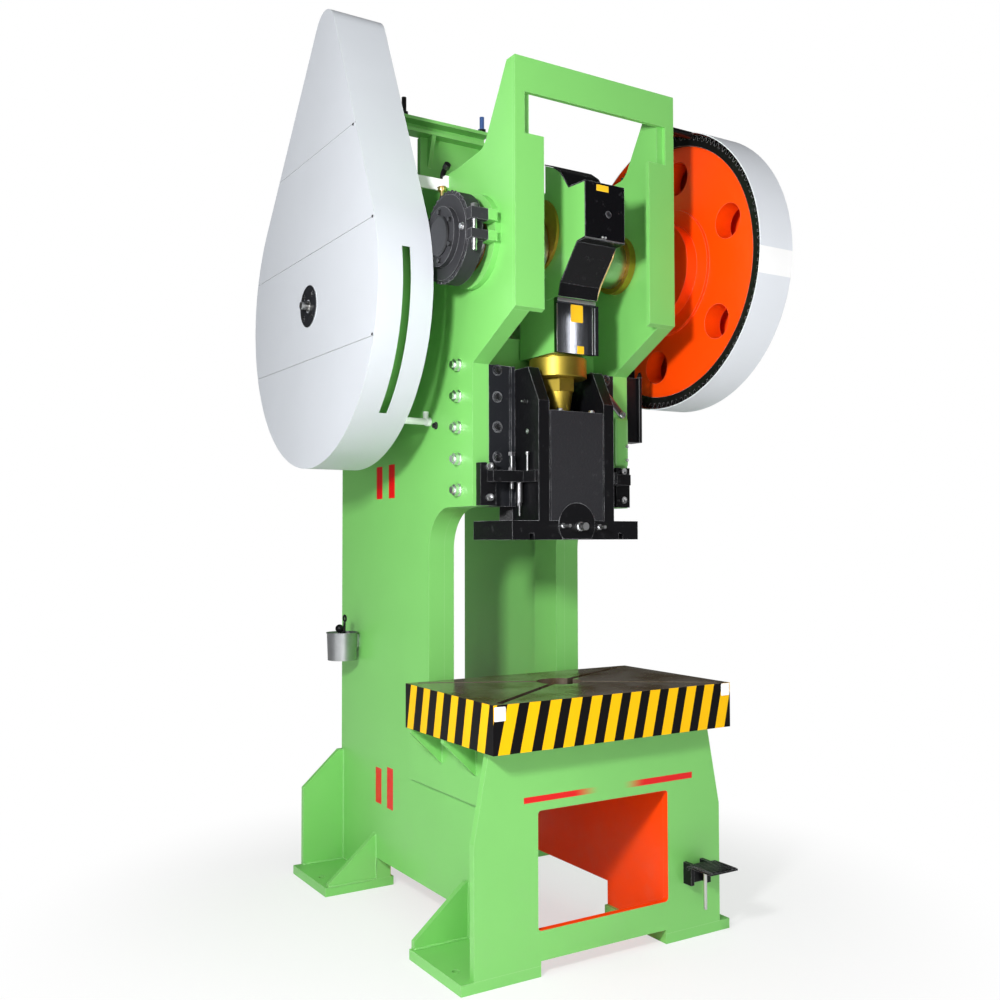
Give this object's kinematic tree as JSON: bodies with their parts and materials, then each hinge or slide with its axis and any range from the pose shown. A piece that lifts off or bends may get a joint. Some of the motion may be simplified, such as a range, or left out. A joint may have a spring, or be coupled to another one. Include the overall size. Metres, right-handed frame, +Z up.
{
  "type": "mechanical stamping press",
  "caption": "Open-front power press with a welded frame, geared crank drive, band brake, guided slide, slotted bolster and belt and gear guards.",
  "frame": {"origin": "on the floor, in the middle of the rectangle of the four anchor bolt holes", "axes": "+Z up, -Y the front where the operator stands, +X to the operator's right; the crankshaft lies along X"},
  "size_m": [1.334, 1.7348, 3.267],
  "materials": {
    "frame_green": "glossy light green enamel",
    "orange_paint": "glossy orange enamel",
    "guard_grey": "light grey enamel on sheet",
    "black_finish": "black finish",
    "machined_steel": "machined steel",
    "bolster_steel": "ground steel with a thin film of oil",
    "bronze": "turned bronze",
    "gold_zinc": "yellow passivated steel",
    "cast_iron": "plain cast iron",
    "white_paint": "white enamel"
  },
  "bodies": {
    "frame": {"side_plate_left": "frame_green", "side_plate_right": "frame_green", "side_doublers": "frame_green", "crown_front_frame": "frame_green", "base_front_plate": "frame_green", "bed_plate": "frame_green", "rear_plates": "frame_green", "head_guide_plate": "frame_green", "crown_panel": "frame_green", "foot_pads": "frame_green", "foot_gussets": "frame_green", "bolster_brackets": "frame_green", "motor_beam": "frame_green", "tension_studs": "black_finish", "bolster": "bolster_steel", "gib_left": "frame_green", "gib_right": "frame_green", "head_cap_screws": "black_finish", "gib_studs": "black_finish", "knockout_brackets": "frame_green", "knockout_stops": "machined_steel", "oiler": "white_paint", "main_bosses": "frame_green", "main_bushes": "bronze", "back_housings": "frame_green", "brake_band": "black_finish", "brake_bolt": "machined_steel", "brake_anchors": "frame_green", "belt_guard_band": "guard_grey", "guard_panels": "guard_grey", "gear_guard": "guard_grey", "guard_bars": "white_paint", "tool_pot": "black_finish", "pot_tools": "machined_steel", "pedal_bracket": "black_finish"},
    "crank": {"crankshaft": "machined_steel", "gear_rim": "cast_iron", "gear_web": "orange_paint", "crank_end_plates": "machined_steel", "brake_drum": "orange_paint"},
    "eccentric": {"eccentric_bush": "bronze"},
    "conrod": {"conrod": "frame_green", "hood_covers": "black_finish", "lower_cover": "black_finish", "grease_line": "bronze", "lock_nut": "gold_zinc"},
    "slide": {"slide_body": "black_finish", "slide_panel": "machined_steel", "shank_clamp": "machined_steel", "clamp_screws": "black_finish", "ball_retainer": "machined_steel"},
    "adjusting_screw": {"ball_screw": "gold_zinc"},
    "back_shaft": {"back_shaft": "machined_steel", "pinion": "cast_iron", "clutch_drum": "cast_iron", "air_union": "bronze"},
    "flywheel": {"flywheel": "cast_iron", "flywheel_bearings": "machined_steel"},
    "pedal": {"pedal_pad": "black_finish", "pedal_rod": "machined_steel"}
  },
  "joints": [
    {"name": "crank_turn", "type": "hinge", "parent": "frame", "child": "crank", "pos_m": [0, -0.385, 2.358], "axis": [1, 0, 0], "continuous": true},
    {"name": "eccentric_turn", "type": "hinge", "parent": "crank", "child": "eccentric", "pos_m": [0, -0.385, 2.3855], "axis": [1, 0, 0], "continuous": true},
    {"name": "conrod_turn", "type": "hinge", "parent": "eccentric", "child": "conrod", "pos_m": [0, -0.385, 2.413], "axis": [1, 0, 0], "continuous": true},
    {"name": "shut_height_adjust", "type": "slide", "parent": "conrod", "child": "slide", "axis": [0, 0, 1], "range_m": [-0.06, 0]},
    {"name": "adjusting_screw_turn", "type": "hinge", "parent": "slide", "child": "adjusting_screw", "pos_m": [0, -0.385, 1.69], "axis": [0, 0, 1], "range_deg": [-3600, 0]},
    {"name": "back_shaft_turn", "type": "hinge", "parent": "frame", "child": "back_shaft", "pos_m": [0, 0.24, 2.22], "axis": [1, 0, 0], "continuous": true},
    {"name": "flywheel_turn", "type": "hinge", "parent": "back_shaft", "child": "flywheel", "pos_m": [-0.57, 0.24, 2.22], "axis": [1, 0, 0], "continuous": true},
    {"name": "pedal_press", "type": "hinge", "parent": "frame", "child": "pedal", "pos_m": [0.374, -0.671, 0.246], "axis": [1, 0, 0], "range_deg": [0, 12], "stiffness_Nm_per_rad": 20, "springref_deg": -11.46}
  ],
  "couplings": [
    {"joint": "eccentric_turn", "follows": "crank_turn", "ratio": -2},
    {"joint": "conrod_turn", "follows": "crank_turn", "ratio": 1},
    {"joint": "back_shaft_turn", "follows": "crank_turn", "ratio": -3.4444},
    {"joint": "adjusting_screw_turn", "follows": "shut_height_adjust", "rad_per_m": 1047.2}
  ]
}
